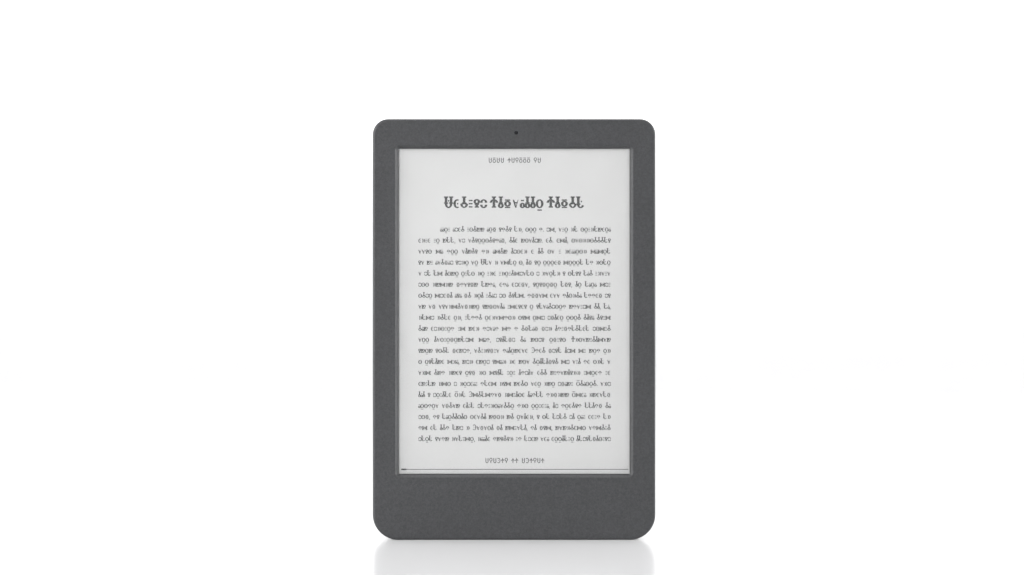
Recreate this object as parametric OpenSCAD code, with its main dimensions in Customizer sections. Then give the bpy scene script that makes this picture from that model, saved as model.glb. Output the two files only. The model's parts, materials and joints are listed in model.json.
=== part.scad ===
// E-reader with a recessed paper-like display, a two-shell case and its electronics.
// Every part is drawn with the reader lying on its back: X across the page, Y up the page,
// Z from the rear face (0) to the front face. upright() then stands it on its lower edge.

/* [Case] */
// Width of the case
body_w = 108.6; // [108:0.2:110]
// Height of the case
body_h = 161.6; // [161:0.2:163]
// Thickness of the case, front face to rear face
body_t = 8.0; // [8:0.1:8.4]
// Corner radius at the top of the case
top_r = 6.0; // [5:0.1:7]
// Corner radius at the bottom of the case
bottom_r = 9.7; // [9:0.1:10.5]
// Rounding of the front edge
front_edge = 1.0; // [0.6:0.1:1.1]
// Rounding of the rear edge
rear_edge = 2.2; // [1.8:0.1:2.4]
// Thickness of the side walls
wall = 1.6; // [1.5:0.1:1.7]
// Thickness of the rear cover's flat face
rear_wall = 1.1; // [1:0.1:1.2]
// Thickness of the bezel round the window
bezel_t = 1.2; // [1.2:0.05:1.3]
// Height of the parting line above the rear face
parting = 5.2; // [5:0.1:5.3]

/* [Window] */
// Width of the window at its narrowest
window_w = 89.2; // [87.8:0.1:90]
// Height of the window at its narrowest
window_h = 125.3; // [124.5:0.1:125.5]
// Height of the window's lower edge above the bottom of the case
window_low = 25.1; // [25:0.1:25.5]
// Width of the sloping edge round the window
window_slope = 1.1; // [0.6:0.1:1.1]
// Width of the dark gasket that shows inside the window
gasket_show = 0.2; // [0.1:0.1:0.6]
// Radius of the window's corners at its narrowest
window_r = 0.8; // [0.4:0.1:1.5]
// Radius of the light sensor's window
sensor_r = 0.75; // [0.5:0.05:0.9]

/* [Display] */
// Width of the display's glass
display_w = 101.8; // [100:0.1:102]
// Thickness of the touch film
touch_t = 0.15; // [0.1:0.01:0.15]
// Thickness of the light guide
guide_t = 0.5; // [0.4:0.05:0.5]
// Thickness of the ink film
ink_t = 0.25; // [0.2:0.01:0.25]
// Thickness of the backplane glass
glass_t = 0.5; // [0.4:0.05:0.5]
// Thickness of the mid frame's plate
frame_t = 0.8; // [0.7:0.05:0.8]
// Number of front-light lamps along the lower edge
lamp_count = 7; // [4:1:9]

/* [Power] */
// Width of the battery cell
cell_w = 62; // [56:1:62]
// Height of the battery cell
cell_h = 89; // [80:1:89]
// Width of the power button
button_w = 9; // [8:0.5:10]
// Height of the power button, across the case's thickness
button_h = 2.2; // [1.8:0.1:2.4]

/* [Hidden] */
$fn = 64;

// Levels above the rear face, from the bezel down to the mid frame
tape_t = 0.2;
gasket_w = 3;
pad_t = 0.1;
bezel_under = body_t - bezel_t;
touch_top = bezel_under - tape_t;
guide_top = touch_top - touch_t;
ink_top = guide_top - guide_t;
glass_top = ink_top - ink_t;
glass_under = glass_top - glass_t;
frame_top = glass_under - pad_t;
frame_under = frame_top - frame_t;

// Levels of the main board, which stands on the rear cover
standoff = 0.9;
board_t = 0.8;
board_under = rear_wall + standoff;
board_top = board_under + board_t;
shield_h = 1.2;

// Fits
gap = 0.15;
seam = 0.1;
lip = 0.75;
lip_h = 0.7;
frame_inset = wall + gap;
cut = 1;

// Display outline
display_low = window_low - 10;
display_top = window_low + window_h + 3.1;
film_w = display_w - 1;
film_top = display_top - 0.2;
lamp_low = display_low + 1;
guide_low = display_low + 2.5;
touch_low = display_low + 4.1;
ink_low = display_low + 4.4;

// Frame screws: [x, y]
screw_low = 6.5;
screw_high = body_h - 4.7;
screw_places = [
  [-46, screw_low], [-12, screw_low], [32, screw_low], [46, screw_low],
  [-46, screw_high], [-16, screw_high], [16, screw_high], [46, screw_high]
];
screw_r = 0.78;
insert_r = 1.25;
insert_h = 2.6;
boss_r = 2.1;
head_r = 1.45;
head_h = 0.7;
head_room_r = 1.8;

// Board outline and screws
board_w = 94;
board_low = 9.2;
board_high = 50;
tongue_left = -7;
tongue_right = 26;
tongue_low = 3;
board_screw_places = [[-44, 13], [44, 13], [-44, 46.5], [44, 46.5]];
board_screw_r = 0.68;
board_boss_r = 2.2;
board_head_r = 1.4;
board_head_h = 0.5;
chip_low = 30;
processor_x = -21;
radio_x = -40.2;

// Light sensor, near the middle of the top bezel
sensor_x = 0.8;
sensor_y = body_h - 5.3;
sensor_floor = touch_top - 0.6;

// Ribbons and their connectors: [x of the middle, ribbon width, y of the mouth, turn]
ribbon_t = 0.12;
ribbon_bend = 0.65;
ribbon_turn = display_low - 2.7;
entry_z = board_top + 0.4;
plug_low = 17.2;
sensor_plug_high = 46.7;
display_plug = [-23, 22, plug_low, 0];
light_plug = [22, 5, plug_low, 0];
touch_plug = [35, 8, plug_low, 0];
sensor_plug = [sensor_x, 3, sensor_plug_high, 180];
lower_plugs = [display_plug, light_plug, touch_plug];

// Connector body and latch
plug_depth = 3.2;
plug_extra = 2.4;
plug_h = 0.95;
cheek = 0.7;
latch_r = 0.22;
latch_reach = 1.25;
hinge_y = 2.05;
hinge_h = 0.72;
trunnion_r = 0.15;

// Battery
cell_low = 58;
cell_base = rear_wall + gap;
cell_t = frame_under - cell_base - 0.2;
fence_x = cell_w / 2 + 1;
circuit_low = cell_low - 3.7;
socket_x = 14;
socket_y = 43;
lead_pitch = 2;
lead_r = 0.38;

// Things in the lower edge
usb_z = 3.2;
usb_w = 8.94;
usb_h = 3.16;
usb_skin = 0.3;
usb_depth = 7.5;
usb_face = 0.15;
usb_tongue_w = 6.69;
usb_tongue_t = 0.7;
usb_contact_pitch = 0.5;
led_x = 10;
pipe_r = 0.6;
button_x = 18;
button_z = 3.4;
button_face = 0.2;
button_reach = 3.05;
switch_face = 4;

// Clips on the mid frame's long sides
clip_places = [60, 100, 140];
clip_w = 6;
clip_t = 0.8;
clip_low = 2.2;

// Antenna on the left wall
antenna_y = 18;
antenna_t = 0.2;

// ---------------------------------------------------------------- shared shapes

module upright() {
  translate([0, body_t / 2, 0]) rotate([90, 0, 0]) children();
}

// Corners of the case: centre, radius less the inset, and the angle where the arc starts
function corners(inset) = [
  [body_w / 2 - top_r, body_h - top_r, top_r - inset, 0],
  [top_r - body_w / 2, body_h - top_r, top_r - inset, 90],
  [bottom_r - body_w / 2, bottom_r, bottom_r - inset, 180],
  [body_w / 2 - bottom_r, bottom_r, bottom_r - inset, 270]
];

function along(c, reach, angle) = [c[0] + reach * cos(angle), c[1] + reach * sin(angle)];

// Outline of the case, drawn in by an inset
module outline(inset) {
  for (c = corners(inset)) translate([c[0], c[1]]) circle(c[2]);
  polygon([for (c = corners(inset)) each [along(c, c[2], c[3]), along(c, c[2], c[3] + 90)]]);
}

// Edge of a slab of thickness t and half-width r, with its outer lower corner rounded by e
module edge_profile(r, t, e) {
  difference() {
    square([r, t]);
    translate([r - e, 0]) difference() {
      square(e);
      translate([0, e]) circle(e);
    }
  }
}

// Slab with the outline of the case and a rounded lower edge
module rounded_slab(t, e) {
  for (i = [0:3]) {
    c = corners(0)[i];
    before = corners(0)[(i + 3) % 4];
    run = i % 2 == 0 ? abs(c[1] - before[1]) : abs(c[0] - before[0]);
    translate([c[0], c[1], 0]) rotate(c[3]) {
      rotate_extrude(angle = 90) edge_profile(c[2], t, e);
      translate([c[2] - e, 0, 0]) rotate([90, 0, 0]) linear_extrude(run) edge_profile(e, t, e);
    }
  }
  linear_extrude(t) polygon([for (c = corners(0)) each [
    along(c, c[2] - e, c[3]), [c[0], c[1]], along(c, c[2] - e, c[3] + 90)
  ]]);
}

// Box given by its middle along X, its low Y, low Z and its size
module block(x, y, z, w, h, t) {
  translate([x - w / 2, y, z]) cube([w, h, t]);
}

// Plate with rounded corners, placed like a block
module plate(x, y, z, w, h, t, r) {
  translate([x, y + h / 2, z]) linear_extrude(t) {
    for (sx = [-1, 1], sy = [-1, 1]) translate([sx * (w / 2 - r), sy * (h / 2 - r)]) circle(r);
    square([w - 2 * r, h], center = true);
    square([w, h - 2 * r], center = true);
  }
}

// Flat ring between two rectangles that share a middle
module ring(y, z, w, h, t, band) {
  difference() {
    block(0, y, z, w, h, t);
    block(0, y + band, z - cut, w - 2 * band, h - 2 * band, t + 2 * cut);
  }
}

// Bar with round ends that runs into the lower edge, from y0 to y1
module slot_bar(x, z, w, h, y0, y1) {
  translate([x, y1, z]) rotate([90, 0, 0]) linear_extrude(y1 - y0) {
    for (side = [-1, 1]) translate([side * (w - h) / 2, 0]) circle(h / 2);
    square([w - h, h], center = true);
  }
}

// Points of a path whose corners are turned with a bend radius
function unit(v) = v / norm(v);
function turn(a, b, c, r) =
  let (
    u = unit(a - b),
    v = unit(c - b),
    half = acos(u * v) / 2,
    back = r / tan(half),
    centre = b + unit(u + v) * r / sin(half),
    from = b + u * back - centre,
    to = b + v * back - centre,
    sweep = acos(max(-1, min(1, from * to / (r * r)))),
    side = from[0] * to[1] - from[1] * to[0] > 0 ? 1 : -1
  )
  [for (k = [0:8]) let (s = side * sweep * k / 8)
    centre + [from[0] * cos(s) - from[1] * sin(s), from[0] * sin(s) + from[1] * cos(s)]];

function bent(path, r) = [
  path[0],
  for (i = [1:len(path) - 2]) each turn(path[i - 1], path[i], path[i + 1], r),
  path[len(path) - 1]
];

function side_of(p, i, d) =
  let (
    a = p[max(i - 1, 0)],
    b = p[min(i + 1, len(p) - 1)],
    v = unit(b - a)
  )
  p[i] + d * [-v[1], v[0]];

// Flexible strip of width w along X, bent along a path of [y, z] points
module strip(x, w, path) {
  p = bent(path, ribbon_bend);
  n = len(p);
  translate([x - w / 2, 0, 0]) rotate([90, 0, 90]) linear_extrude(w) polygon(concat(
    [for (i = [0:n - 1]) side_of(p, i, ribbon_t / 2)],
    [for (i = [n - 1:-1:0]) side_of(p, i, -ribbon_t / 2)]
  ));
}

// Path of a ribbon that leaves the display at level z and turns back to a board connector
function tail(start, z) = [
  [start, z], [ribbon_turn, z], [ribbon_turn, entry_z], [plug_low + 1.4, entry_z]
];

// ---------------------------------------------------------------- case

module front_bezel() {
  skirt = parting + seam;
  color([0.34, 0.34, 0.35]) upright() difference() {
    translate([0, 0, body_t]) mirror([0, 0, 1]) rounded_slab(body_t - skirt, front_edge);
    translate([0, 0, skirt - cut]) linear_extrude(bezel_under - skirt + cut) outline(wall);
    translate([0, 0, skirt - cut]) linear_extrude(parting + lip_h + 0.05 - skirt + cut)
      outline(wall - lip - 0.05);
    window_cut();
    translate([sensor_x, sensor_y, bezel_under - cut]) cylinder(h = bezel_t + 2 * cut, r = sensor_r);
  }
}

// Window opening: straight at the bottom, then sloping outwards to the front face
module window_cut() {
  long = window_h - 2 * window_r;
  wide = window_w - 2 * window_r;
  plate(0, window_low, bezel_under - cut, window_w, window_h, bezel_t + 2 * cut, window_r);
  translate([0, window_low + window_h / 2, body_t]) {
    rotate([90, 0, 0]) translate([0, 0, -long / 2]) linear_extrude(long) slope(window_w);
    rotate([90, 0, 90]) translate([0, 0, -wide / 2]) linear_extrude(wide) slope(window_h);
    for (sx = [-1, 1], sy = [-1, 1]) translate([sx * wide / 2, sy * long / 2, -window_slope])
      cylinder(h = 2 * window_slope, r1 = window_r, r2 = window_r + 2 * window_slope);
  }
}

module slope(w) {
  polygon([
    [-w / 2, -window_slope], [w / 2, -window_slope],
    [w / 2 + 2 * window_slope, window_slope], [-w / 2 - 2 * window_slope, window_slope]
  ]);
}

module rear_cover() {
  color([0.3, 0.3, 0.31]) upright() difference() {
    union() {
      difference() {
        union() {
          rounded_slab(parting, rear_edge);
          translate([0, 0, rear_edge]) linear_extrude(parting + lip_h - rear_edge) outline(wall - lip);
        }
        translate([0, 0, rear_wall]) linear_extrude(body_t) outline(wall);
      }
      for (p = screw_places) translate([p[0], p[1], rear_wall])
        cylinder(h = frame_under - rear_wall, r = boss_r);
      for (p = board_screw_places) translate([p[0], p[1], rear_wall])
        cylinder(h = standoff, r = board_boss_r);
      battery_fence();
      stiffening_ribs();
    }
    for (p = screw_places) translate([p[0], p[1], frame_under - insert_h])
      cylinder(h = insert_h + cut, r = insert_r);
    for (p = board_screw_places) translate([p[0], p[1], rear_wall - 0.5])
      cylinder(h = standoff + 0.5 + cut, r = board_screw_r);
    for (side = [-1, 1], y = clip_places)
      block(side * (body_w / 2 - wall + 0.2), y - clip_w / 2 - 0.3, 2, 0.8, clip_w + 0.6, 1.2);
    slot_bar(0, usb_z, usb_w + 0.3, usb_h + 0.3, -cut, wall + cut);
    slot_bar(button_x, button_z, button_w + 0.2, button_h + 0.2, -cut, wall + cut);
    translate([led_x, wall + cut, button_z]) rotate([90, 0, 0])
      cylinder(h = wall + 2 * cut, r = pipe_r + 0.04);
  }
}

// Low ribs that keep the battery in its place
module battery_fence() {
  for (side = [-1, 1])
    block(side * fence_x, cell_low - 2, rear_wall - 0.1, 0.8, cell_h + 4, 2);
  block(0, cell_low + cell_h + 1, rear_wall - 0.1, cell_w + 2.8, 0.8, 2);
}

// Ribs across the empty space on both sides of the battery
module stiffening_ribs() {
  rib_w = body_w / 2 - wall - 2.2 - fence_x;
  for (side = [-1, 1], k = [0:5])
    block(side * (fence_x + rib_w / 2), cell_low + 4 + 16 * k, rear_wall - 0.1, rib_w, 0.8, 1.4);
}

module mid_frame() {
  color([0.16, 0.16, 0.17]) upright() difference() {
    union() {
      difference() {
        translate([0, 0, frame_under]) linear_extrude(touch_top - frame_under) outline(frame_inset);
        block(0, display_low - gap, frame_top, display_w + 2 * gap,
          display_top - display_low + 2 * gap, body_t);
      }
      for (side = [-1, 1], y = clip_places) clip(side, y);
    }
    frame_openings(frame_under - cut);
    for (p = screw_places) translate([p[0], p[1], 0]) {
      cylinder(h = body_t, r = screw_r + 0.15);
      translate([0, 0, frame_top]) cylinder(h = body_t, r = head_room_r);
    }
    for (side = [-1, 1], k = [0:3])
      block(side * 30, 60 + 23 * k, frame_under - cut, 16, 14, body_t);
    latch_windows();
    block(sensor_x, sensor_y - 1.8, sensor_floor, 3.6, 4.4, body_t);
  }
}

// Snap clip that reaches down into the rear cover's wall
module clip(side, y) {
  outer = body_w / 2 - frame_inset;
  block(side * (outer - clip_t / 2), y - clip_w / 2, clip_low,
    clip_t, clip_w, frame_under - clip_low + 0.1);
  translate([side * outer, y + clip_w / 2, clip_low]) rotate([90, 0, 0]) linear_extrude(clip_w)
    polygon([[0, 0.05], [side * 0.35, 0.35], [side * 0.35, 0.65], [0, 0.75], [-side * 0.2, 0.4]]);
}

// Slots for the ribbons and the notch over the parts in the lower edge
module frame_openings(z) {
  block((tongue_left + tongue_right) / 2, -cut, z, tongue_right - tongue_left + 2, 10.4, body_t);
  for (p = lower_plugs)
    block(p[0], ribbon_turn - 0.5, z, p[1] + 1, display_low - gap - ribbon_turn + 0.5, body_t);
  block(sensor_x, body_h - 3.9, z, sensor_plug[1] + 0.6, 1.4, body_t);
}

// Room for each connector's latch to stand up
module latch_windows() {
  for (p = lower_plugs)
    block(p[0], plug_low + 1.5, frame_under - cut, p[1] + plug_extra, 2.1, frame_t + 2 * cut);
  block(sensor_plug[0], sensor_plug_high - 3.6, frame_under - cut, sensor_plug[1] + plug_extra, 2.1,
    frame_t + 2 * cut);
}

module bezel_tape() {
  color([0.1, 0.1, 0.1]) upright() difference() {
    translate([0, 0, touch_top]) linear_extrude(tape_t) outline(frame_inset);
    block(0, display_low - gap, 0, display_w + 2 * gap, display_top - display_low + 2 * gap, body_t);
    frame_openings(0);
    block(sensor_x, sensor_y - 1.8, 0, 3.6, 4.4, body_t);
  }
}

module screen_gasket() {
  color([0.08, 0.08, 0.08]) upright() ring(window_low - gasket_w, touch_top,
    window_w + 2 * gasket_w, window_h + 2 * gasket_w, tape_t, gasket_w + gasket_show);
}

module brass_inserts() {
  color([0.75, 0.6, 0.3]) upright() for (p = screw_places)
    translate([p[0], p[1], frame_under - insert_h]) difference() {
      cylinder(h = insert_h, r = insert_r);
      translate([0, 0, -cut]) cylinder(h = insert_h + 2 * cut, r = screw_r + 0.02);
    }
}

// Cross-recess pan-head screw whose head sits on level z
module screw(z, wide, tall, r, reach) {
  difference() {
    union() {
      translate([0, 0, z - reach]) cylinder(h = reach, r = r);
      translate([0, 0, z]) cylinder(h = tall, r = wide);
    }
    for (a = [0, 90]) rotate(a) block(0, -wide * 0.6, z + tall - 0.35, 0.3, wide * 1.2, 1);
  }
}

module frame_screws() {
  color([0.6, 0.6, 0.62]) upright() for (p = screw_places)
    translate([p[0], p[1], 0]) screw(frame_top, head_r, head_h, screw_r, frame_t + insert_h - 0.4);
}

// ---------------------------------------------------------------- display

module touch_film() {
  color([0.9, 0.92, 0.92, 0.4]) upright()
    block(0, touch_low, guide_top, film_w, film_top - touch_low, touch_t);
}

module light_guide() {
  color([0.9, 0.95, 0.95, 0.4]) upright()
    block(0, guide_low, ink_top, film_w, film_top - guide_low, guide_t);
}

module ink_film() {
  color([0.89, 0.89, 0.88]) upright()
    block(0, ink_low, glass_top, film_w - 6, film_top - 0.8 - ink_low, ink_t);
}

module backplane_glass() {
  color([0.35, 0.45, 0.45, 0.6]) upright()
    block(0, display_low, glass_under, display_w, display_top - display_low, glass_t);
}

// One long column driver and two short row drivers on the glass ledge
module driver_chips() {
  color([0.12, 0.12, 0.13]) upright() {
    block(-23, display_low + 1.6, glass_top, 26, 1.4, 0.22);
    for (x = [8, 40]) block(x, display_low + 1.6, glass_top, 12, 1.2, 0.22);
  }
}

// Foam tape that holds the glass to the mid frame
module display_foam() {
  color([0.2, 0.2, 0.2]) upright() {
    ring(display_low + 36, frame_top, display_w - 4, display_top - display_low - 40, pad_t, 5);
    block(0, display_low + 6, frame_top, 80, 4, pad_t);
  }
}

module display_ribbon() {
  color([0.75, 0.5, 0.2]) upright()
    strip(display_plug[0], display_plug[1], tail(display_low + 1.2, glass_top + ribbon_t / 2));
}

module touch_ribbon() {
  color([0.75, 0.5, 0.2]) upright()
    strip(touch_plug[0], touch_plug[1], tail(touch_low + 1.8, touch_top + ribbon_t / 2));
}

module frontlight_leds() {
  pitch = (film_w - 16) / (lamp_count - 1);
  color([0.95, 0.93, 0.7]) upright() for (k = [0:lamp_count - 1])
    block((k - (lamp_count - 1) / 2) * pitch, lamp_low, guide_top - 0.45, 3.2, 1.4, 0.45);
}

module frontlight_flex() {
  color([0.8, 0.55, 0.25]) upright() {
    block(0, lamp_low - 0.7, guide_top, film_w - 8, 3.5, ribbon_t);
    strip(light_plug[0], light_plug[1], tail(lamp_low, guide_top + ribbon_t / 2));
  }
}

module light_sensor_window() {
  color([0.05, 0.05, 0.06]) upright() translate([sensor_x, sensor_y, bezel_under])
    cylinder(h = bezel_t - 0.06, r = sensor_r);
}

module light_sensor() {
  color([0.2, 0.2, 0.22]) upright()
    block(sensor_x, sensor_y - 1, sensor_floor + ribbon_t, 2, 2, 0.55);
}

// From the sensor over the top edge, then down the back of the frame to the board
module sensor_ribbon() {
  low = sensor_plug_high - 1.4;
  level = frame_under - ribbon_t / 2;
  edge = body_h - 3;
  color([0.75, 0.5, 0.2]) upright() strip(sensor_plug[0], sensor_plug[1], [
    [sensor_y - 1.2, sensor_floor + ribbon_t / 2], [edge, sensor_floor + ribbon_t / 2],
    [edge, level], [sensor_plug_high + 5, level], [sensor_plug_high + 2.4, entry_z], [low, entry_z]
  ]);
}

// ---------------------------------------------------------------- main board

module main_board() {
  color([0.05, 0.25, 0.16]) upright() difference() {
    union() {
      block(0, board_low, board_under, board_w, board_high - board_low, board_t);
      block((tongue_left + tongue_right) / 2, tongue_low, board_under, tongue_right - tongue_left,
        board_low - tongue_low + 0.5, board_t);
    }
    for (p = board_screw_places) translate([p[0], p[1], 0]) cylinder(h = body_t, r = 0.85);
    block(0, 0, 0, usb_w + 0.3, usb_depth + 0.35, body_t);
  }
}

module board_screws() {
  color([0.6, 0.6, 0.62]) upright() for (p = board_screw_places)
    translate([p[0], p[1], 0])
      screw(board_top, board_head_r, board_head_h, board_screw_r, board_t + standoff + 0.4);
}

// Pressed metal can, open underneath, with a row of small holes in its lid
module shield(x, y, w, h) {
  skin = 0.2;
  difference() {
    block(x, y, board_top, w, h, shield_h);
    block(x, y + skin, board_top - cut, w - 2 * skin, h - 2 * skin, shield_h - skin + cut);
    for (i = [-2:2], j = [0:1]) translate([x + i * w / 6, y + h * (0.25 + 0.5 * j), 0])
      cylinder(h = body_t, r = 0.4);
  }
}

module processor_shield() {
  color([0.7, 0.71, 0.72]) upright() shield(processor_x, 26, 24, 20);
}

module processor_chip() {
  color([0.1, 0.1, 0.11]) upright() block(-26, chip_low, board_top, 12, 12, 0.8);
}

module memory_chip() {
  color([0.1, 0.1, 0.11]) upright() block(-14.2, chip_low, board_top, 8, 12, 0.75);
}

module thermal_pad() {
  top = board_top + shield_h;
  color([0.5, 0.55, 0.6]) upright() block(processor_x, chip_low - 1, top, 18, 14, frame_under - top);
}

module radio_shield() {
  color([0.7, 0.71, 0.72]) upright() shield(radio_x, 24, 11, 16);
}

module radio_chip() {
  color([0.1, 0.1, 0.11]) upright() block(radio_x, chip_low - 1, board_top, 6, 6, 0.6);
}

module storage_chip() {
  color([0.1, 0.1, 0.11]) upright() block(-1, 27, board_top, 11.5, 13, 0.9);
}

module power_chips() {
  color([0.1, 0.1, 0.11]) upright() {
    block(14, chip_low, board_top, 6, 6, 0.8);
    block(34, chip_low, board_top, 5, 5, 0.8);
  }
}

module coils() {
  color([0.25, 0.25, 0.27]) upright() for (p = [[22, 25], [22, 31], [28, 28], [40, 26]])
    plate(p[0], p[1], board_top, 4, 4, 1.1, 0.8);
}

// Rows of tiny capacitors and resistors beside the chips: [x, y, count, step]
module small_components() {
  color([0.6, 0.5, 0.38]) upright() {
    for (row = [[-31, 23, 10, 2], [-6, 24, 6, 1.9], [10, 38, 9, 1.9], [9, 27, 6, 1.8]],
         k = [0:row[2] - 1])
      block(row[0] + k * row[3], row[1], board_top, 0.5, 1, 0.5);
    for (y = [13.6:1.9:24]) block(9.5, y, board_top, 1.6, 0.8, 0.7);
    for (x = [-40:3:-31]) block(x, 42, board_top, 1.2, 2, 0.9);
    block(30, 37, board_top, 3.2, 1.5, 0.8);
  }
}

module hall_sensor() {
  color([0.12, 0.12, 0.12]) upright() {
    block(43.5, 34, board_top, 2.9, 1.3, 0.9);
    for (x = [42.55, 44.45]) block(x, 33.5, board_top, 0.4, 0.5, 0.15);
    block(43.5, 35.3, board_top, 0.4, 0.5, 0.15);
  }
}

// ---------------------------------------------------------------- ribbon connectors

module at_plug(plug) {
  translate([plug[0], plug[2], board_top]) rotate(plug[3]) children();
}

// Housing for a ribbon of width w, open at its mouth and over its hinge
module plug_body(w) {
  full = w + plug_extra;
  back = plug_depth - hinge_y + latch_r + 0.1;
  difference() {
    block(0, 0, 0, full, plug_depth, plug_h);
    block(0, -cut, 0.3, w + 0.3, 1.6 + cut, 0.2);
    block(0, plug_depth - back, hinge_h - latch_r - 0.06, full - 2 * cheek, back + cut, plug_h);
    for (side = [-1, 1]) translate([side * (full / 2 - cheek), hinge_y, hinge_h])
      rotate([0, side * 90, 0]) translate([0, 0, -cut]) cylinder(h = cut + 0.4, r = trunnion_r + 0.03);
  }
}

// Latch that lies flat when locked, and stands up on its trunnions to free the ribbon
module plug_latch(w) {
  bar = w + plug_extra - 2 * cheek - 0.1;
  translate([0, hinge_y, hinge_h]) {
    rotate([0, 90, 0]) cylinder(h = bar, r = latch_r, center = true);
    rotate([0, 90, 0]) cylinder(h = bar + 0.7, r = trunnion_r, center = true);
    translate([-bar / 2, 0, -latch_r + 0.02]) cube([bar, latch_reach, 2 * latch_r - 0.04]);
  }
}

module display_connector() {
  color([0.85, 0.83, 0.76]) upright() at_plug(display_plug) plug_body(display_plug[1]);
}

module display_latch() {
  color([0.2, 0.18, 0.16]) upright() at_plug(display_plug) plug_latch(display_plug[1]);
}

module touch_connector() {
  color([0.85, 0.83, 0.76]) upright() at_plug(touch_plug) plug_body(touch_plug[1]);
}

module touch_latch() {
  color([0.2, 0.18, 0.16]) upright() at_plug(touch_plug) plug_latch(touch_plug[1]);
}

module light_connector() {
  color([0.85, 0.83, 0.76]) upright() at_plug(light_plug) plug_body(light_plug[1]);
}

module light_latch() {
  color([0.2, 0.18, 0.16]) upright() at_plug(light_plug) plug_latch(light_plug[1]);
}

module sensor_connector() {
  color([0.85, 0.83, 0.76]) upright() at_plug(sensor_plug) plug_body(sensor_plug[1]);
}

module sensor_latch() {
  color([0.2, 0.18, 0.16]) upright() at_plug(sensor_plug) plug_latch(sensor_plug[1]);
}

// Row of solder feet in front of a connector
module feet(w) {
  count = floor(w);
  for (k = [0:count - 1]) block(k - (count - 1) / 2, -0.6, 0, 0.3, 0.6, 0.12);
}

module connector_contacts() {
  color([0.85, 0.7, 0.35]) upright() {
    for (p = [each lower_plugs, sensor_plug]) at_plug(p) feet(p[1]);
  }
}

// ---------------------------------------------------------------- battery

module battery_socket() {
  color([0.9, 0.88, 0.82]) upright() difference() {
    block(socket_x, socket_y, board_top, 9, 4.4, 1.3);
    block(socket_x, socket_y + 0.8, board_top + 0.25, 7.4, 4.4, 0.85);
  }
}

module battery_plug() {
  color([0.93, 0.92, 0.88]) upright()
    block(socket_x, socket_y + 0.9, board_top + 0.27, 7.2, 4.3, 0.8);
}

// Three insulated wires from the plug to the battery's circuit
module battery_leads() {
  z = board_top + 0.67;
  start = socket_y + 5.2;
  color([0.7, 0.1, 0.1]) upright() for (k = [-1:1])
    translate([socket_x + k * lead_pitch, start, z]) rotate([-90, 0, 0])
      cylinder(h = circuit_low - start, r = lead_r);
}

module battery_circuit() {
  color([0.85, 0.65, 0.2]) upright()
    block(6, circuit_low, cell_base + 0.4, 30, 3.6, 2.2);
}

module battery_cell() {
  color([0.75, 0.76, 0.78]) upright() {
    plate(0, cell_low, cell_base, cell_w, cell_h, cell_t, 2);
    block(6, cell_low - 0.1, cell_base + 1, 6, 0.3, 0.6);
  }
}

module battery_tape() {
  color([0.95, 0.95, 0.9]) upright() for (side = [-1, 1])
    block(side * 19, cell_low + 5, rear_wall, 14, cell_h - 10, gap);
}

module foam_pads() {
  level = cell_base + cell_t;
  color([0.15, 0.15, 0.15]) upright() for (side = [-1, 1], y = [cell_low + 10, cell_low + cell_h - 18])
    block(side * 15, y, level, 14, 8, frame_under - level);
}

// ---------------------------------------------------------------- lower edge

module usb_shell() {
  color([0.72, 0.73, 0.75]) upright() {
    difference() {
      slot_bar(0, usb_z, usb_w, usb_h, usb_face, usb_depth);
      slot_bar(0, usb_z, usb_w - 2 * usb_skin, usb_h - 2 * usb_skin, usb_face - cut, usb_depth + cut);
    }
    for (side = [-1, 1], y = [3.6, 6])
      block(side * (usb_w / 2 + 0.45), y, board_top, 1.1, 0.9, 0.15);
  }
}

module usb_tongue() {
  color([0.08, 0.08, 0.08]) upright() {
    slot_bar(0, usb_z, usb_w - 2 * usb_skin, usb_h - 2 * usb_skin, 6.1, usb_depth);
    block(0, 1, usb_z - usb_tongue_t / 2, usb_tongue_w, 5.2, usb_tongue_t);
  }
}

// Twelve contacts on each face of the tongue
module usb_contacts() {
  color([0.9, 0.75, 0.35]) upright() for (k = [0:11], side = [-1, 1])
    block((k - 5.5) * usb_contact_pitch, 1.4, usb_z + side * (usb_tongue_t / 2 + 0.02) - 0.02,
      usb_contact_pitch / 2, 4.7, 0.04);
}

module power_button() {
  color([0.2, 0.2, 0.21]) upright() {
    slot_bar(button_x, button_z, button_w, button_h, button_face, wall + 0.2);
    slot_bar(button_x, button_z, button_w + 1.4, button_h + 0.7, wall + 0.05, wall + 0.6);
    block(button_x, wall + 0.5, button_z - 0.45, 2.4, button_reach - wall - 0.5, 0.9);
  }
}

module switch_base() {
  color([0.75, 0.75, 0.76]) upright() difference() {
    block(button_x, switch_face, board_top, 4.7, 3, 1.4);
    block(button_x, switch_face - cut, button_z - 0.5, 2, 2 + cut, 1);
  }
}

module switch_plunger() {
  color([0.9, 0.9, 0.88]) upright()
    block(button_x, button_reach + 0.05, button_z - 0.45, 1.8, switch_face - button_reach + 1.2, 0.9);
}

module charge_led() {
  color([0.95, 0.9, 0.7]) upright() block(led_x, 4.4, board_top, 1.6, 1, 1);
}

module light_pipe() {
  color([0.92, 0.92, 0.92, 0.6]) upright() translate([led_x, 0, button_z]) rotate([-90, 0, 0]) {
    translate([0, 0, 0.1]) cylinder(h = 4.2, r = pipe_r);
    translate([0, 0, wall]) cylinder(h = 0.5, r = pipe_r + 0.4);
  }
}

// ---------------------------------------------------------------- radio

module wifi_antenna() {
  color([0.75, 0.5, 0.2]) upright()
    block(wall - body_w / 2 + antenna_t / 2, antenna_y, rear_wall + 0.2, antenna_t, 24, 2.6);
}

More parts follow.
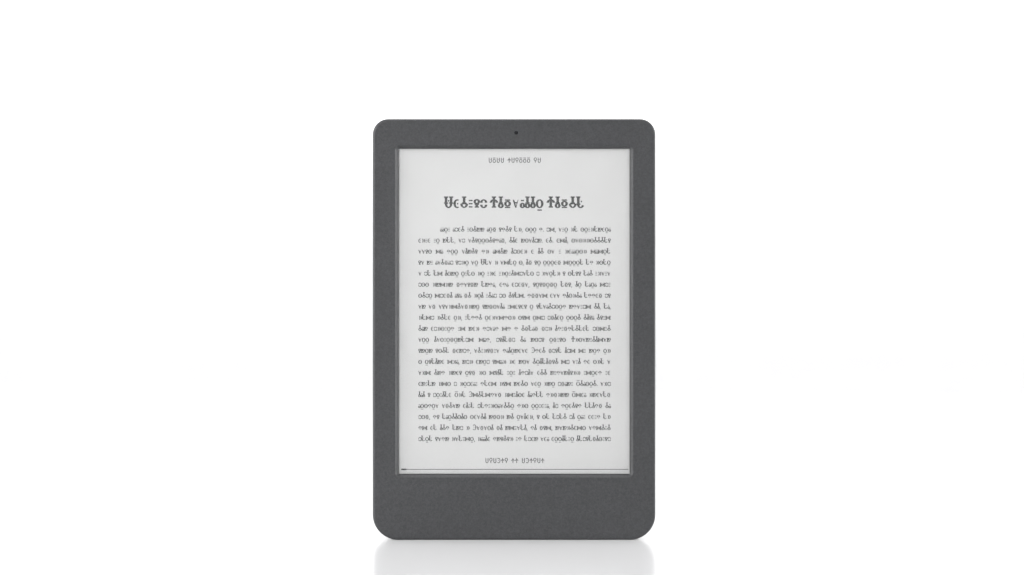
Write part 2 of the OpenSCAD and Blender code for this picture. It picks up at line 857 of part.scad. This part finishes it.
// Thin coaxial lead from the strip on the wall to its plug on the board
module antenna_cable() {
  y = antenna_y + 3;
  z = board_top + 0.45;
  start = wall - body_w / 2 + antenna_t;
  plug_x = -43;
  color([0.12, 0.12, 0.12]) upright() {
    translate([start, y, z]) rotate([0, 90, 0]) cylinder(h = plug_x - start, r = 0.35);
    translate([plug_x, y, board_top]) cylinder(h = 1, r = 1.1);
  }
}

// ---------------------------------------------------------------- nodes

front_bezel();
rear_cover();
bezel_tape();
screen_gasket();
mid_frame();
brass_inserts();
frame_screws();
light_sensor_window();
light_sensor();
sensor_ribbon();
touch_film();
light_guide();
ink_film();
backplane_glass();
driver_chips();
display_foam();
display_ribbon();
touch_ribbon();
frontlight_leds();
frontlight_flex();
main_board();
board_screws();
processor_shield();
processor_chip();
memory_chip();
thermal_pad();
radio_shield();
radio_chip();
storage_chip();
power_chips();
coils();
small_components();
hall_sensor();
display_connector();
display_latch();
touch_connector();
touch_latch();
light_connector();
light_latch();
sensor_connector();
sensor_latch();
connector_contacts();
battery_socket();
battery_plug();
battery_leads();
battery_circuit();
battery_cell();
battery_tape();
foam_pads();
usb_shell();
usb_tongue();
usb_contacts();
power_button();
switch_base();
switch_plunger();
charge_led();
light_pipe();
wifi_antenna();
antenna_cable();
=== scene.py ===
"""Looks for the e-reader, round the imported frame: materials, page, studio and camera."""

import json
import math
import random

import bpy
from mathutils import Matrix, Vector


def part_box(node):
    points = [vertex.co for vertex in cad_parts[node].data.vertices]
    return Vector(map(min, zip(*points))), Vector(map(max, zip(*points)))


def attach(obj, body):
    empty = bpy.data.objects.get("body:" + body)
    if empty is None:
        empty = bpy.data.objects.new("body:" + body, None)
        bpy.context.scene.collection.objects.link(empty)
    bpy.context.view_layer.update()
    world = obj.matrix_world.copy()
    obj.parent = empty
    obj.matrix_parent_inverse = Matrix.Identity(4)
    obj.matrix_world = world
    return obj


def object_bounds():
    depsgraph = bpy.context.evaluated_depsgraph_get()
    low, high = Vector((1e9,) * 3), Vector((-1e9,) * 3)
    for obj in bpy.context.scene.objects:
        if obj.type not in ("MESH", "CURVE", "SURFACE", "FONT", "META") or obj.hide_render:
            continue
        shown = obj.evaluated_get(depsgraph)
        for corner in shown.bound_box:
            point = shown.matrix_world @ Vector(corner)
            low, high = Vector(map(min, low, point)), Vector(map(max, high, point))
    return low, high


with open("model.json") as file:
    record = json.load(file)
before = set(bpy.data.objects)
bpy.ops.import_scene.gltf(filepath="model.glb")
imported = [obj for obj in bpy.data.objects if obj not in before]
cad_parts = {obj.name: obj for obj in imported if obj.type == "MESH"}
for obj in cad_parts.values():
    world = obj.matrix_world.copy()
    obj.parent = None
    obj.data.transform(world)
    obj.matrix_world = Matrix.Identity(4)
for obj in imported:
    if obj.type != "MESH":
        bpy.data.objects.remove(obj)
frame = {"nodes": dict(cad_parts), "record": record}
cad_low, cad_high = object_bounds()
nodes = frame["nodes"]
MM = 0.001

# ---------------------------------------------------------------- materials


class Maker:
    """Builds one node material round a Principled shader, in object space and real sizes."""

    def __init__(self, name, color, roughness, metallic=0.0):
        self.material = bpy.data.materials.new(name)
        self.material.use_nodes = True
        self.tree = self.material.node_tree
        self.shader = self.tree.nodes["Principled BSDF"]
        self.shader.inputs["Base Color"].default_value = (*color, 1)
        self.shader.inputs["Roughness"].default_value = roughness
        self.shader.inputs["Metallic"].default_value = metallic
        self.color = color
        self.roughness = roughness
        self.place = self.add("ShaderNodeTexCoord").outputs["Object"]
        self.paint = None
        self.gloss = None
        self.height = None

    def add(self, kind, **settings):
        node = self.tree.nodes.new(kind)
        for key, value in settings.items():
            setattr(node, key, value)
        return node

    def join(self, source, target):
        self.tree.links.new(source, target)

    def noise(self, size, detail=2.0, stretch=(1, 1, 1)):
        """Noise from 0 to 1 whose features are size metres across."""
        vector = self.place
        if stretch != (1, 1, 1):
            mapping = self.add("ShaderNodeMapping")
            mapping.inputs["Scale"].default_value = stretch
            self.join(vector, mapping.inputs["Vector"])
            vector = mapping.outputs["Vector"]
        node = self.add("ShaderNodeTexNoise")
        node.inputs["Scale"].default_value = 1 / size
        node.inputs["Detail"].default_value = detail
        self.join(vector, node.inputs["Vector"])
        return node.outputs["Fac"]

    def cells(self, size):
        """Distance to the nearest of scattered points, size metres apart."""
        node = self.add("ShaderNodeTexVoronoi")
        node.inputs["Scale"].default_value = 1 / size
        self.join(self.place, node.inputs["Vector"])
        return node.outputs["Distance"]

    def spread(self, value, low, high, start=0.3, end=0.7):
        """Maps value from start..end to low..high."""
        node = self.add("ShaderNodeMapRange")
        node.inputs["From Min"].default_value = start
        node.inputs["From Max"].default_value = end
        node.inputs["To Min"].default_value = low
        node.inputs["To Max"].default_value = high
        self.join(value, node.inputs["Value"])
        return node.outputs["Result"]

    def math(self, operation, a, b):
        node = self.add("ShaderNodeMath", operation=operation)
        for socket, value in zip(node.inputs, (a, b)):
            if isinstance(value, (int, float)):
                socket.default_value = value
            else:
                self.join(value, socket)
        return node.outputs["Value"]

    def vary(self, size, amount, detail=3.0):
        """Lightens and darkens the paint by amount, in patches of size metres."""
        share = self.spread(self.noise(size, detail), 1 - amount, 1 + amount)
        node = self.add("ShaderNodeVectorMath", operation="SCALE")
        if self.paint is None:
            node.inputs[0].default_value = self.color
        else:
            self.join(self.paint, node.inputs[0])
        self.join(share, node.inputs["Scale"])
        self.paint = node.outputs["Vector"]
        return self

    def rough(self, size, amount, detail=2.0):
        """Varies the roughness by amount either way, in patches of size metres."""
        low, high = self.roughness - amount, self.roughness + amount
        self.gloss = self.spread(self.noise(size, detail), low, high)
        return self

    def handled(self, band, polish):
        """Lowers the roughness by polish at the outline of the case, fading over a band inside it."""
        split = self.add("ShaderNodeSeparateXYZ")
        self.join(self.place, split.inputs["Vector"])
        side = self.math("SUBTRACT", cad_high.x, self.math("ABSOLUTE", split.outputs["X"], 0.0))
        top = self.math("SUBTRACT", cad_high.z, split.outputs["Z"])
        inset = self.math("MINIMUM", side, self.math("MINIMUM", top, split.outputs["Z"]))
        self.gloss = self.math("SUBTRACT", self.gloss, self.spread(inset, polish, 0.0, 0.0, band))
        return self

    def relief(self, value, depth):
        """Adds value, from 0 to 1, as relief depth metres deep."""
        scaled = self.math("MULTIPLY", value, depth / MM)
        self.height = scaled if self.height is None else self.math("ADD", self.height, scaled)
        return self

    def done(self):
        if self.paint is not None:
            self.join(self.paint, self.shader.inputs["Base Color"])
        if self.gloss is not None:
            self.join(self.gloss, self.shader.inputs["Roughness"])
        if self.height is not None:
            bump = self.add("ShaderNodeBump")
            bump.inputs["Strength"].default_value = 1.0
            bump.inputs["Distance"].default_value = MM
            self.join(self.height, bump.inputs["Height"])
            self.join(bump.outputs["Normal"], self.shader.inputs["Normal"])
        return self.material


def moulded(name, color, roughness, grain=0.2 * MM, depth=0.006 * MM, speckle=0.05):
    """Spark-textured plastic: fine grain in relief, faint speckle and slow changes in tone."""
    m = Maker(name, color, roughness)
    m.shader.inputs["Specular IOR Level"].default_value = 0.4
    m.vary(grain, speckle, 1.0).vary(18 * MM, 0.02)
    m.rough(6 * MM, 0.03)
    m.relief(m.noise(grain, 1.0), depth)
    return m.done()


def case_plastic(name, color, roughness):
    """Satin case finish: coarse and fine grain, uneven gloss, and an outline polished by handling."""
    m = Maker(name, color, roughness)
    m.shader.inputs["Specular IOR Level"].default_value = 0.42
    m.vary(0.9 * MM, 0.11, 1.0).vary(0.32 * MM, 0.16, 1.0).vary(22 * MM, 0.03)
    m.rough(9 * MM, 0.025).handled(7 * MM, 0.05)
    m.relief(m.noise(0.9 * MM, 1.0), 0.02 * MM)
    m.relief(m.noise(0.32 * MM, 1.0), 0.012 * MM)
    return m.done()


def metal(name, color, roughness, grain=0.15 * MM, along=(1, 1, 1), depth=0.002 * MM):
    """Metal sheet with fine rolling or turning marks and slight tarnish."""
    m = Maker(name, color, roughness, metallic=1.0)
    m.vary(4 * MM, 0.06)
    m.rough(1.5 * MM, 0.06)
    m.relief(m.noise(grain, 2.0, along), depth)
    return m.done()


def soft(name, color, roughness=0.85, grain=0.3 * MM):
    """Foam, felt or paper tape: open cells and a matt, uneven face."""
    m = Maker(name, color, roughness)
    m.vary(grain, 0.18, 2.0)
    m.relief(m.cells(grain), 0.03 * MM)
    return m.done()


def clear(name, share, roughness, color=(0.9, 0.92, 0.92)):
    """Thin clear sheet: light goes straight through all but share of it, which the shader shows."""
    m = Maker(name, color, roughness)
    m.rough(2 * MM, min(0.03, roughness / 2))
    m.done()
    clear_part = m.add("ShaderNodeBsdfTransparent")
    mix = m.add("ShaderNodeMixShader")
    mix.inputs["Fac"].default_value = share
    m.join(clear_part.outputs["BSDF"], mix.inputs[1])
    m.join(m.shader.outputs["BSDF"], mix.inputs[2])
    m.join(mix.outputs["Shader"], m.tree.nodes["Material Output"].inputs["Surface"])
    return m.material


def particles(name, tone):
    """Black particles held at the front of the film, matt and slightly uneven."""
    return Maker(name, (tone, tone, tone), 0.7).vary(0.12 * MM, 0.25).done()


SLOTS = {
    "case_front": case_plastic("case_front", (0.047, 0.048, 0.0505), 0.38),
    "case_rear": case_plastic("case_rear", (0.04, 0.041, 0.0435), 0.42),
    "frame_metal": metal("frame_metal", (0.1, 0.1, 0.105), 0.45),
    "black_tape": soft("black_tape", (0.02, 0.02, 0.02)),
    "brass": metal("brass", (0.78, 0.56, 0.26), 0.3),
    "screw_steel": metal("screw_steel", (0.55, 0.56, 0.58), 0.3),
    "sensor_lens": moulded("sensor_lens", (0.006, 0.006, 0.008), 0.12, depth=0, speckle=0.02),
    "ribbon": moulded("ribbon", (0.62, 0.33, 0.08), 0.35, grain=0.4 * MM),
    "clear_film": clear("clear_film", 0.05, 0.4),
    "clear_guide": clear("clear_guide", 0.02, 0.15),
    "e_paper": moulded("e_paper", (0.59, 0.59, 0.585), 0.8, grain=0.15 * MM, depth=0.001 * MM,
                       speckle=0.01),
    "page_ink": particles("page_ink", 0.014),
    "panel_glass": clear("panel_glass", 0.7, 0.1, (0.12, 0.15, 0.15)),
    "chip": moulded("chip", (0.02, 0.02, 0.022), 0.5, grain=0.1 * MM),
    "white_led": moulded("white_led", (0.9, 0.85, 0.5), 0.3),
    "board_green": moulded("board_green", (0.015, 0.09, 0.04), 0.3, grain=0.5 * MM),
    "shield_tin": metal("shield_tin", (0.62, 0.62, 0.63), 0.32, along=(1, 1, 0.1)),
    "pad_grey": soft("pad_grey", (0.3, 0.34, 0.4), 0.6),
    "ferrite": moulded("ferrite", (0.06, 0.06, 0.065), 0.6),
    "ceramic_parts": moulded("ceramic_parts", (0.42, 0.3, 0.18), 0.5, grain=0.1 * MM),
    "plug_ivory": moulded("plug_ivory", (0.75, 0.7, 0.56), 0.45, grain=0.1 * MM),
    "latch_brown": moulded("latch_brown", (0.035, 0.025, 0.02), 0.45, grain=0.1 * MM),
    "gold": metal("gold", (0.85, 0.62, 0.25), 0.25),
    "wires": moulded("wires", (0.45, 0.02, 0.02), 0.35, grain=0.1 * MM),
    "cell_foil": metal("cell_foil", (0.6, 0.61, 0.63), 0.4, grain=0.5 * MM, depth=0.01 * MM),
    "white_tape": soft("white_tape", (0.8, 0.8, 0.76)),
    "port_steel": metal("port_steel", (0.5, 0.51, 0.53), 0.28, along=(1, 1, 0.1)),
    "black_plastic": moulded("black_plastic", (0.012, 0.012, 0.013), 0.4, grain=0.1 * MM),
    "button": moulded("button", (0.045, 0.045, 0.047), 0.45, grain=0.12 * MM),
    "clear_pipe": clear("clear_pipe", 0.5, 0.2),
    "black_cable": moulded("black_cable", (0.015, 0.015, 0.015), 0.5),
}

for part in frame["record"]["subparts"]:
    mesh = nodes[part["node"]].data
    mesh.materials.clear()
    mesh.materials.append(SLOTS[part["material_slot"]])

# ---------------------------------------------------------------- page

page_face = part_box("ink_film")[0].y

# In heights of a small sign.
TALL = 1.42
FOOT_REACH = 0.11
DOT_REACH = 0.1
DOT_WIDTH = 0.16
WORD_GAP = 0.55

# In degrees.
ARC_STEP = 24


class Ink:
    """Thin closed strokes on the front of the ink film, gathered into one mesh."""

    def __init__(self, name, material, depth):
        self.name = name
        self.material = material
        self.front = page_face - depth
        self.points = []
        self.faces = []

    def ribbon(self, left, right):
        """Closed prism between two rows of points, given as (x, z) in metres."""
        first = len(self.points)
        count = len(left)
        for y in (self.front, page_face):
            for row in (left, right):
                self.points += [(x, y, z) for x, z in row]
        a, b, c, d = (first + k * count for k in range(4))
        for k in range(count - 1):
            self.faces.append((a + k, b + k, b + k + 1, a + k + 1))
            self.faces.append((c + k, c + k + 1, d + k + 1, d + k))
            self.faces.append((a + k, a + k + 1, c + k + 1, c + k))
            self.faces.append((b + k, d + k, d + k + 1, b + k + 1))
        last = count - 1
        self.faces.append((a, c, d, b))
        self.faces.append((a + last, b + last, d + last, c + last))

    def bar(self, x0, x1, z, thickness):
        half = thickness / 2
        self.ribbon([(x0, z - half), (x1, z - half)], [(x0, z + half), (x1, z + half)])

    def made(self):
        mesh = bpy.data.meshes.new(self.name)
        mesh.from_pydata(self.points, [], self.faces)
        mesh.materials.append(self.material)
        piece = bpy.data.objects.new(self.name, mesh)
        bpy.context.scene.collection.objects.link(piece)
        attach(piece, "reader")


class Face:
    """A weight and size of invented type: size is the height of its small signs in metres."""

    def __init__(self, ink, size, thick, thin, feet=True, track=0.0):
        self.ink = ink
        self.size = size
        self.thick = thick
        self.thin = thin
        self.feet = feet
        self.track = track

    def stem(self, x, z, at, low, high):
        half = self.thick / 2
        self.block(x, z, (at - half, at + half), (low, high))
        if self.feet:
            reach = half + FOOT_REACH
            for end, inner in ((low, low + self.thin), (high, high - self.thin)):
                self.block(x, z, (at - reach, at + reach), (end, inner))

    def arc(self, x, z, centre, radii, start, end):
        """Part of an ellipse, thick where it runs up and down and thin where it runs across."""
        steps = max(4, round(abs(end - start) / ARC_STEP))
        inner = []
        outer = []
        for k in range(steps + 1):
            a = math.radians(start + (end - start) * k / steps)
            c, s = math.cos(a), math.sin(a)
            half = (self.thin + (self.thick - self.thin) * c * c) / 2
            inner.append((centre[0] + (radii[0] - half) * c, centre[1] + (radii[1] - half) * s))
            outer.append((centre[0] + (radii[0] + half) * c, centre[1] + (radii[1] + half) * s))
        self.ribbon(x, z, inner, outer)

    def cross(self, x, z, start, end, height):
        half = self.thin / 2
        low, high = height - half, height + half
        self.ribbon(x, z, [(start, low), (end, low)], [(start, high), (end, high)])

    def slant(self, x, z, low, high, thickness):
        """Leaning stroke from point low to point high."""
        half = thickness / 2
        left = [(low[0] - half, low[1]), (high[0] - half, high[1])]
        right = [(low[0] + half, low[1]), (high[0] + half, high[1])]
        self.ribbon(x, z, left, right)

    def dot(self, x, z, at, height):
        self.slant(x, z, (at, height - DOT_REACH), (at, height + DOT_REACH), DOT_WIDTH)

    def block(self, x, z, sides, ends):
        self.ribbon(x, z, [(sides[0], end) for end in ends], [(sides[1], end) for end in ends])

    def ribbon(self, x, z, left, right):
        """Inks a ribbon given in heights of a small sign from (x, z)."""
        rows = [[(x + u * self.size, z + v * self.size) for u, v in row] for row in (left, right)]
        self.ink.ribbon(*rows)

    def sign(self, x, z, parts):
        for kind, *numbers in parts:
            getattr(self, kind)(x, z, *numbers)

    def span(self, signs):
        """Width of a word, in heights of a small sign."""
        return sum(w + self.track for w, _ in signs)


def ring(x, z, wide, tall):
    return "arc", (x, z), (wide, tall), 0, 360


def arch(x, z, wide, tall):
    return "arc", (x, z), (wide, tall), 0, 180


def bowl(x, z, wide, tall):
    return "arc", (x, z), (wide, tall), 180, 360


# Each invented sign is its width and its strokes, in heights of a small sign. They are built from
# rings, bowls, bars and dots. A ring is wider than the thickest stroke, so that it never closes up.
SMALL = [
    (0.98, [ring(0.45, 0.5, 0.36, 0.48), ("dot", 0.45, 0.5)]),
    (1.0, [("stem", 0.15, 0, 1), ("cross", 0.15, 0.86, 0.08), ring(0.64, 0.64, 0.24, 0.3)]),
    (0.88, [("stem", 0.42, 0.5, TALL), bowl(0.42, 0.5, 0.34, 0.46), ("cross", 0.08, 0.76, 0.5)]),
    (0.98, [("stem", 0.15, 0.36, TALL), ("arc", (0.44, 0.36), (0.29, 0.34), 180, 350),
            ("dot", 0.54, 0.78)]),
    (0.8, [("arc", (0.44, 0.5), (0.33, 0.48), 60, 300), ("dot", 0.5, 0.5)]),
    (0.62, [("cross", 0.03, 0.52, 0.1), ("cross", 0.03, 0.52, 0.5), ("cross", 0.03, 0.52, 0.9)]),
    (0.95, [ring(0.43, 0.5, 0.34, 0.48), ("cross", 0.15, 0.71, -0.3)]),
    (0.98, [("cross", 0.1, 0.78, 0.04), ring(0.44, 0.5, 0.28, 0.28), ("cross", 0.1, 0.78, 0.96)]),
    (0.72, [("stem", 0.34, 0, 0.5), ring(0.34, 0.76, 0.26, 0.24)]),
    (0.8, [arch(0.4, 0.62, 0.3, 0.36), bowl(0.4, 0.38, 0.3, 0.36)]),
    (1.36, [("stem", 0.15, 0, 1), ring(0.64, 0.5, 0.22, 0.24), ("stem", 1.12, 0, 1)]),
    (0.6, [("stem", 0.28, 0.5, TALL), ring(0.28, 0.26, 0.22, 0.24)]),
    (0.95, [("arc", (0.1, 0.5), (0.3, 0.48), -75, 75), ("arc", (0.5, 0.5), (0.3, 0.48), -75, 75)]),
    (0.98, [arch(0.44, 0.5, 0.32, 0.44), ("cross", 0.1, 0.78, 0.5), ("dot", 0.44, 0.14)]),
    (0.52, [ring(0.26, 0.28, 0.2, 0.26), ("cross", 0.06, 0.46, 0.9)]),
    (0.9, [("slant", (0.42, 0), (0.1, 1), 0.2), ("slant", (0.42, 0), (0.7, 1), 0.1),
           ("cross", 0.24, 0.6, 0.62)]),
]
LARGE = [
    (1.12, [("stem", 0.24, 0.5, TALL), ("stem", 0.88, 0.5, TALL), bowl(0.56, 0.5, 0.32, 0.48),
            ("dot", 0.56, 0.86)]),
    (1.02, [ring(0.5, 0.98, 0.36, 0.42), ("stem", 0.5, 0, 0.55)]),
    (1.06, [("cross", 0.12, 0.92, TALL - 0.06), ring(0.52, 0.52, 0.36, 0.5)]),
    (1.05, [("arc", (0.46, 0.7), (0.4, 0.68), -140, 140), ("dot", 0.4, 0.7)]),
    (1.0, [("stem", 0.5, 0, TALL), arch(0.5, 0.62, 0.38, 0.36)]),
]
COMMA = [("slant", (0.06, -0.26), (0.16, 0.14), 0.16)]
STOP = [("slant", (0.14, 0), (0.14, 0.19), 0.2)]


def word(rng, length, first_large=False):
    signs = [rng.choice(SMALL) for _ in range(length)]
    if first_large:
        signs[0] = rng.choice(LARGE)
    return signs


def capitals(rng, length):
    return [rng.choice(LARGE) for _ in range(length)]


def set_word(face, x, z, signs):
    """Sets one word from x along the baseline z, and returns where it ends."""
    for w, parts in signs:
        face.sign(x, z, parts)
        x += (w + face.track) * face.size
    return x


def set_line(face, x0, x1, z, words):
    """Sets words on the baseline z, spread so that the line fills x0 to x1."""
    gap = (x1 - x0 - sum(face.span(w) for w in words) * face.size) / max(1, len(words) - 1)
    x = x0
    for signs in words:
        x = set_word(face, x, z, signs) + gap


def set_centred(face, middle, z, words, gap):
    total = sum(face.span(w) for w in words) * face.size + gap * (len(words) - 1)
    set_line(face, middle - total / 2, middle + total / 2, z, words)


def page_words(rng, face, room):
    """Random words for one line, as many as leave a gap of at least WORD_GAP between them."""
    longest = 11
    fewest = 6
    spread, scale = 2.6, 1.35
    large_share = 0.05
    mark_share = 0.13
    mark_width = 0.3
    words = []
    while True:
        length = min(longest, 1 + int(rng.gammavariate(spread, scale)))
        signs = word(rng, length, rng.random() < large_share)
        if rng.random() < mark_share:
            signs.append((mark_width, rng.choice((COMMA, COMMA, STOP))))
        needed = sum(face.span(w) + WORD_GAP for w in words) + face.span(signs)
        if needed > room:
            if len(words) >= fewest or length < 3:
                return words
            continue
        words.append(signs)


# Places on the page, in millimetres from the middle of the case and from its foot.
TEXT_LEFT, TEXT_RIGHT = -36.8, 37.2
TEXT_MIDDLE = 0.3
TEXT_TOP = 118.4
LINE_STEP = 4.24
LINE_COUNT = 20
INDENT = 8.4
HEADING_HALF = 27.2
HEADING_Z = 127.6
HEADER_Z = 144.9
FOOTER_Z = 29.4
RULE_LEFT, RULE_READ, RULE_RIGHT = -43.4, -41.4, 43.9
RULE_Z = 26.95
RULE_THICK, RULE_THIN = 0.6, 0.3
INK_DEPTH = 0.015
PLAIN_GAP = 1.1


def page():
    rng = random.Random(11)
    ink = Ink("page_type", SLOTS["page_ink"], INK_DEPTH * MM)
    middle = TEXT_MIDDLE * MM
    right = TEXT_RIGHT * MM
    text = Face(ink, 1.5 * MM, thick=0.25, thin=0.13)
    for row in range(LINE_COUNT):
        left = TEXT_LEFT * MM + (INDENT * MM if row == 0 else 0)
        baseline = (TEXT_TOP - LINE_STEP * row) * MM
        set_line(text, left, right, baseline, page_words(rng, text, (right - left) / text.size))
    heading = Face(ink, 3.05 * MM, thick=0.33, thin=0.17, track=0.09)
    half = HEADING_HALF * MM
    words = [word(rng, n, True) for n in (6, 8, 5)]
    set_line(heading, middle - half, middle + half, HEADING_Z * MM, words)
    plain = Face(ink, 1.34 * MM, thick=0.21, thin=0.19, feet=False, track=0.06)
    for height, lengths in ((HEADER_Z, (4, 6, 2)), (FOOTER_Z, (6, 2, 6))):
        words = [capitals(rng, n) for n in lengths]
        set_centred(plain, middle, height * MM, words, PLAIN_GAP * MM)
    ink.bar(RULE_LEFT * MM, RULE_READ * MM, RULE_Z * MM, RULE_THICK * MM)
    ink.made()
    rule = Ink("page_rule", particles("page_grey", 0.12), INK_DEPTH * MM)
    rule.bar(RULE_READ * MM, RULE_RIGHT * MM, RULE_Z * MM, RULE_THIN * MM)
    rule.made()


page()

# ---------------------------------------------------------------- studio

middle_point = (cad_low + cad_high) / 2

# Strength of the white's own glow, and the places, in metres, between which it changes.
FLOOR_GLOW = 0.08
FRONT_GLOW = 0.2
BACK_GLOW = 0.84
WORLD_GLOW = 0.1
GLOW_TOP = 0.35
FRONT_Y, BACK_Y = -1.6, 1.2

# Each light's place, its width and height, in metres, and its power in watts.
LIGHTS = {
    "strip_left": ((-0.9, -0.22, 0.25), (0.4, 0.8), 5.2),
    "rim": ((-0.52, -0.8, 0.14), (0.05, 0.5), 2.1),
    "strip_right": ((0.9, -0.04, 0.2), (0.3, 0.8), 6.6),
    "key": ((-0.46, -0.8, 0.62), (0.3, 0.36), 2.0),
    "top": ((0, -0.02, 1.15), (0.8, 0.35), 4.4),
}


def stage_piece(name, points, faces, material):
    mesh = bpy.data.meshes.new(name)
    mesh.from_pydata(points, [], faces)
    mesh.polygons.foreach_set("use_smooth", [True] * len(mesh.polygons))
    mesh.materials.append(material)
    piece = bpy.data.objects.new(name, mesh)
    bpy.context.scene.collection.objects.link(piece)


def studio_white():
    """White that glows a little, more behind the object than in front of it."""
    m = Maker("studio_white", (0.72, 0.72, 0.725), 0.22)
    m.shader.inputs["Specular IOR Level"].default_value = 0.4
    m.shader.inputs["Emission Color"].default_value = (1, 1, 1, 1)
    split = m.add("ShaderNodeSeparateXYZ")
    m.join(m.place, split.inputs["Vector"])
    rise = m.spread(split.outputs["Z"], 0.0, 1.0, 0.0, GLOW_TOP)
    depth = m.spread(split.outputs["Y"], FRONT_GLOW, BACK_GLOW, FRONT_Y, BACK_Y)
    glow = m.add("ShaderNodeMix", data_type="FLOAT")
    m.join(rise, glow.inputs["Factor"])
    glow.inputs["A"].default_value = FLOOR_GLOW
    m.join(depth, glow.inputs["B"])
    m.join(glow.outputs["Result"], m.shader.inputs["Emission Strength"])
    return m.vary(0.4, 0.004).done()


def sweep():
    """Floor that curves up into a wall behind, on all sides of the object."""
    flat = 1.4
    bend = 0.6
    wall_top = 3.0
    steps = 12
    around = 64
    profile = [(0.0, 0.0), (flat, 0.0)]
    for k in range(1, steps + 1):
        a = math.pi / 2 * k / steps
        profile.append((flat + bend * math.sin(a), bend * (1 - math.cos(a))))
    profile.append((flat + bend, wall_top))
    points = []
    faces = []
    for j in range(around):
        turn = 2 * math.pi * j / around
        for r, z in profile:
            points.append((r * math.cos(turn), r * math.sin(turn), z))
    n = len(profile)
    for j in range(around):
        for k in range(n - 1):
            a = j * n + k
            b = (j + 1) % around * n + k
            faces.append((a, b, b + 1, a + 1))
    stage_piece("studio_sweep", points, faces, studio_white())


def area_light(name, place, size, power):
    """Soft rectangular light aimed at the middle of the object, hidden from the camera."""
    data = bpy.data.lights.new(name, "AREA")
    data.shape = "RECTANGLE"
    data.size, data.size_y = size
    data.energy = power
    lamp = bpy.data.objects.new(name, data)
    lamp.location = place
    lamp.rotation_euler = (middle_point - Vector(place)).to_track_quat("-Z", "Y").to_euler()
    lamp.visible_camera = False
    bpy.context.scene.collection.objects.link(lamp)


def studio():
    sweep()
    world = bpy.data.worlds.new("studio_world")
    world.use_nodes = True
    background = world.node_tree.nodes["Background"]
    background.inputs["Color"].default_value = (1, 1, 1, 1)
    background.inputs["Strength"].default_value = WORLD_GLOW
    bpy.context.scene.world = world
    for name, (place, size, power) in LIGHTS.items():
        area_light(name, place, size, power)


studio()

# ---------------------------------------------------------------- camera

LENS_MM = 85.0
SENSOR_MM = 36.0

# In metres, from the front of the case and from its middle.
VIEW_DISTANCE = 0.9278
CAMERA_UP = 0.0161
CAMERA_LEFT = 0.0008
CLIP_END = 20


def camera():
    data = bpy.data.cameras.new("camera")
    data.lens = LENS_MM
    data.sensor_width = SENSOR_MM
    data.clip_end = CLIP_END
    view = bpy.data.objects.new("camera", data)
    across, height = middle_point.x - CAMERA_LEFT, middle_point.z + CAMERA_UP
    view.location = (across, cad_low.y - VIEW_DISTANCE, height)
    view.rotation_euler = (math.pi / 2, 0, 0)
    bpy.context.scene.collection.objects.link(view)
    bpy.context.scene.camera = view


camera()
bpy.context.scene.view_settings.view_transform = "Standard"
